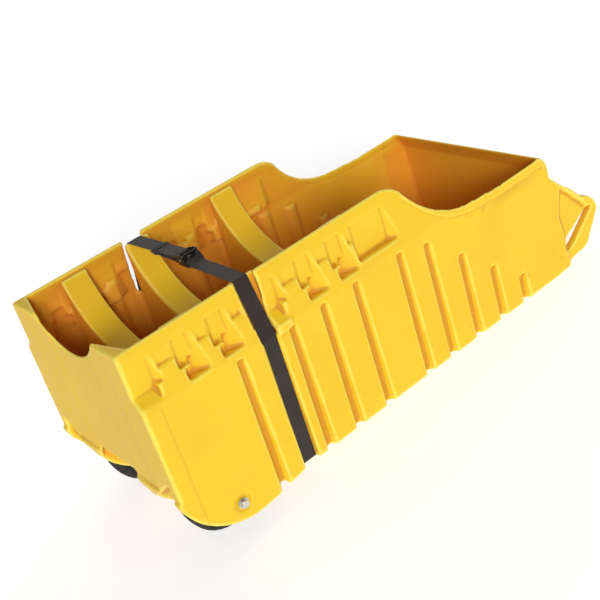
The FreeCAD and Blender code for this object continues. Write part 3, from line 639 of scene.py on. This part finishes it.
def ribbon(name, route, x_middle, half, thick, side):
    """A woven band along a route in the Y-Z plane; side says which way its thickness grows."""
    # the section as (across, share of the thickness): rounded edges with a raised selvedge beside them
    rim = [(-half, 0.3), (-half + 0.0004, 0.02), (-half + 0.0025, 0.0), (-half + 0.004, 0.08)]
    rim += [(-half + 0.008 + (2 * half - 0.016) * k / 10, 0.08) for k in range(11)]
    low_edge = rim + [(-u, w) for u, w in reversed(rim[:4])]
    loop = low_edge + [(u, 1 - w) for u, w in reversed(low_edge)]
    points, along = [], []
    distance = 0.0
    for k, here in enumerate(route):
        ahead = route[min(k + 1, len(route) - 1)] - route[max(k - 1, 0)]
        ahead.normalize()
        normal = Vector((-ahead.y, ahead.x)) * side
        if k:
            distance += (here - route[k - 1]).length
        for u, w in loop:
            place = here + normal * (w * thick)
            points.append((x_middle + u, place.x, place.y))
            along.append((u, distance))
    size, last = len(loop), len(route) - 1
    faces = []
    for near in range(0, last * size, size):
        far = near + size
        faces += [(near + j, near + (j + 1) % size, far + (j + 1) % size, far + j) for j in range(size)]
    faces += [tuple(reversed(range(size))), tuple(range(last * size, (last + 1) * size))]
    mesh = mesh_from(name, points, faces)
    weave = mesh.uv_layers.new(name="weave")
    for loop_corner in mesh.loops:
        weave.data[loop_corner.index].uv = along[loop_corner.vertex_index]
    shape = bmesh.new()
    shape.from_mesh(mesh)
    bmesh.ops.recalc_face_normals(shape, faces=shape.faces)
    shape.to_mesh(mesh)
    shape.free()
    return mesh


def strap_corners():
    """Where the webbing turns, from its loose tail right round the tub to the buckle's bar."""
    side, under = STRAP_HIGH.y - WEB_THICK, STRAP_LOW.z + WEB_THICK
    corners = [(TAIL_Y, EAR_Z), (-EAR_Y, EAR_Z), (-side, LEDGE_Z), (-side, under), (side, under),
               (side, LEDGE_Z), (EAR_Y, EAR_Z), (LIFT_Y, EAR_Z), (0.0, BAR_Z + BAR_RADIUS)]
    radii = [0.004, 0.010, 0.004, 0.004, 0.010, 0.004, 0.020]
    return corners, radii


def make_strap():
    """The webbing: one loop round the tub, sewn back on itself round the buckle's bar."""
    corners, radii = strap_corners()
    route = rounded_route(corners, radii, RUN_STEP)
    # round the buckle's bar and back under itself, to the sewn hem
    for k in range(1, 13):
        turn = math.pi / 2 + math.pi * k / 12
        route.append(Vector((BAR_RADIUS * math.cos(turn), BAR_Z + BAR_RADIUS * math.sin(turn))))
    for k in range(1, 13):
        y = HEM_Y * k / 12
        meet = min(1.0, y / HEM_MEET)
        share = meet * meet * (3 - 2 * meet)
        upper = BAR_Z + BAR_RADIUS + LIFT_SLOPE * y - 0.0001
        route.append(Vector((y, (BAR_Z - BAR_RADIUS) * (1 - share) + upper * share)))
    mesh = ribbon("strap", route, STRAP_X, WEB_HALF, WEB_THICK, -1)
    mesh.transform(TO_ROW)
    return piece("strap_band", mesh, "webbing", "dolly", ["strap_webbing"])


# one stitch from end to end: (share of its length, share of its radius, drop in radii)
STITCH = ((0.0, 0.3, 1.2), (0.12, 0.9, 0.3), (0.5, 1.0, 0.0), (0.88, 0.9, 0.3), (1.0, 0.3, 1.2))
STITCH_PITCH, STITCH_RADIUS = 0.0042, 0.0005


def capsule(points, faces, start, end, radius):
    """Adds one stitch: a six-sided thread between two points, its ends dipping into the cloth."""
    run = end - start
    across = Vector((0, 0, 1)).cross(run).normalized() * radius
    lift = Vector((0, 0, radius))
    base = len(points)
    for share, fat, drop in STITCH:
        middle = start + run * share - lift * drop
        for k in range(6):
            turn = math.pi * k / 3
            points.append(middle + across * math.cos(turn) * fat + lift * math.sin(turn) * fat)
    for near in range(base, base + 24, 6):
        far = near + 6
        faces += [(near + k, near + (k + 1) % 6, far + (k + 1) % 6, far + k) for k in range(6)]
    faces += [tuple(base + k for k in reversed(range(6))), tuple(base + 24 + k for k in range(6))]


def make_stitching():
    """A sewn box with a cross through it, on the doubled webbing behind the buckle."""
    near, far, half = 0.022, 0.056, WEB_HALF - 0.006
    box = [Vector((-half, near)), Vector((half, near)), Vector((half, far)), Vector((-half, far))]
    seams = list(zip(box, box[1:] + box[:1])) + [(box[0], box[2]), (box[1], box[3])]
    points, faces = [], []
    for start, end in seams:
        count = max(1, round((end - start).length / STITCH_PITCH))
        for k in range(count):
            a, b = (start.lerp(end, (k + share) / count) for share in (0.12, 0.88))
            heights = [BAR_Z + BAR_RADIUS + WEB_THICK + LIFT_SLOPE * p.y for p in (a, b)]
            capsule(points, faces, Vector((STRAP_X + a.x, a.y, heights[0])),
                    Vector((STRAP_X + b.x, b.y, heights[1])), STITCH_RADIUS)
    mesh = mesh_from("stitching", points, faces)
    mesh.transform(TO_ROW)
    piece("strap_stitching", mesh, "webbing", "dolly", material=THREAD)


KEEPER_THICK, KEEPER_TURN, KEEPER_STEP = 0.0018, 0.0028, 0.004
# how far the band stays inside its CAD solid, and the slit where its two ends meet
KEEPER_INSET, KEEPER_SLIT = 0.0002, 0.0001


def make_keeper():
    """The elastic loop that holds the strap's loose tail: a woven band with rounded edges."""
    low, high = tub_box("tail_keeper")
    x0, x1 = low.x + KEEPER_INSET, high.x - KEEPER_INSET
    z0, z1 = low.z + KEEPER_INSET, high.z - KEEPER_INSET
    middle, half = (x0 + x1) / 2, (high.y - low.y) / 2 - KEEPER_INSET
    corners = [(middle, z0), (x1, z0), (x1, z1), (x0, z1), (x0, z0), (middle - KEEPER_SLIT, z0)]
    route = rounded_route(corners, [KEEPER_TURN] * 4, KEEPER_STEP)
    mesh = ribbon("keeper", route, 0.0, half, KEEPER_THICK, 1)
    # the band is drawn in a Y-Z plane and stands in the X-Z plane
    mesh.transform(Matrix(((0, 1, 0, 0), (1, 0, 0, (low.y + high.y) / 2), (0, 0, 1, 0), (0, 0, 0, 1))))
    mesh.flip_normals()
    mesh.transform(TO_ROW)
    return piece("elastic_keeper", mesh, "elastic", "dolly", ["tail_keeper"])


# ---------------------------------------------------------------- CAD pieces that keep their shape

EDGE_ROUNDING = 0.0006


def finish_cad_node(node, slot):
    """Gives a CAD node its material, and rounds its edges."""
    shown = frame["nodes"][node]
    shown.data.materials.clear()
    shown.data.materials.append(MATERIALS[slot])
    weld = shown.modifiers.new("weld", "WELD")
    weld.merge_threshold = 1e-5
    rounding = shown.modifiers.new("rounding", "BEVEL")
    rounding.width = EDGE_ROUNDING
    rounding.segments = 3
    rounding.limit_method = "ANGLE"
    rounding.angle_limit = math.radians(SHARP_ANGLE)
    rounding.harden_normals = True


# ---------------------------------------------------------------- studio

def make_camera():
    """Looks at the wheel end's right side from above, tilted so that the handles stand higher."""
    forward = Vector((0.45682, 0.75608, -0.46868))
    right = Vector((0.74223, -0.61437, -0.26765))
    up = right.cross(forward)
    place = Vector((-0.8534, -2.6880, 1.9429))
    camera = bpy.data.objects.new("camera", bpy.data.cameras.new("camera"))
    camera.data.lens, camera.data.sensor_width = 66.07, 36.0
    camera.data.clip_end = 400.0
    turn = Matrix((right, up, -forward)).transposed().to_4x4()
    camera.matrix_world = TO_ROW @ Matrix.Translation(place) @ turn
    bpy.context.scene.collection.objects.link(camera)
    bpy.context.scene.camera = camera


def make_lamp(name, towards, strength, spread):
    """A sun that shines from a direction; its spread in degrees softens the shadows."""
    lamp = bpy.data.objects.new(name, bpy.data.lights.new(name, "SUN"))
    lamp.data.energy, lamp.data.angle = strength, math.radians(spread)
    lamp.rotation_euler = Vector(towards).to_track_quat("Z", "Y").to_euler()
    bpy.context.scene.collection.objects.link(lamp)


def make_studio():
    """A wide pale floor, a soft key light from the right of the wheel end, a weak fill and a dim sky."""
    half = 150.0
    floor = bpy.data.objects.new("floor", mesh_from(
        "floor", [(-half, -half, 0), (half, -half, 0), (half, half, 0), (-half, half, 0)], [(0, 1, 2, 3)]))
    # a floor that glows a little, so that it stays white where the key light fades
    paper, *_ = shader("floor", Base_Color=(0.60, 0.60, 0.60, 1), Roughness=0.9,
                       Emission_Color=(1, 1, 1, 1), Emission_Strength=0.64)
    floor.data.materials.append(paper)
    bpy.context.scene.collection.objects.link(floor)
    make_lamp("key", towards=(-0.42, -0.83, 0.37), strength=2.05, spread=18.0)
    make_lamp("fill", towards=(0.62, 0.60, 0.50), strength=0.85, spread=50.0)
    world = bpy.data.worlds.new("studio")
    world.use_nodes = True
    sky = world.node_tree.nodes["Background"]
    sky.inputs["Color"].default_value = (1, 1, 1, 1)
    sky.inputs["Strength"].default_value = 0.24
    bpy.context.scene.world = world
    bpy.context.scene.view_settings.view_transform = "Standard"


make_camera()
make_studio()
make_tub()
replaced = ["tub", "strap_webbing", "tail_keeper"]
for side_name in SIDES:
    make_tyre(side_name)
    make_hub(side_name)
    make_bolt(side_name)
    replaced += [kind + side_name for kind in ("tyre_", "wheel_hub_", "axle_bolt_")]
make_strap()
make_stitching()
make_keeper()
for row in frame["record"]["subparts"]:
    if row["node"] not in replaced:
        finish_cad_node(row["node"], row["material_slot"])
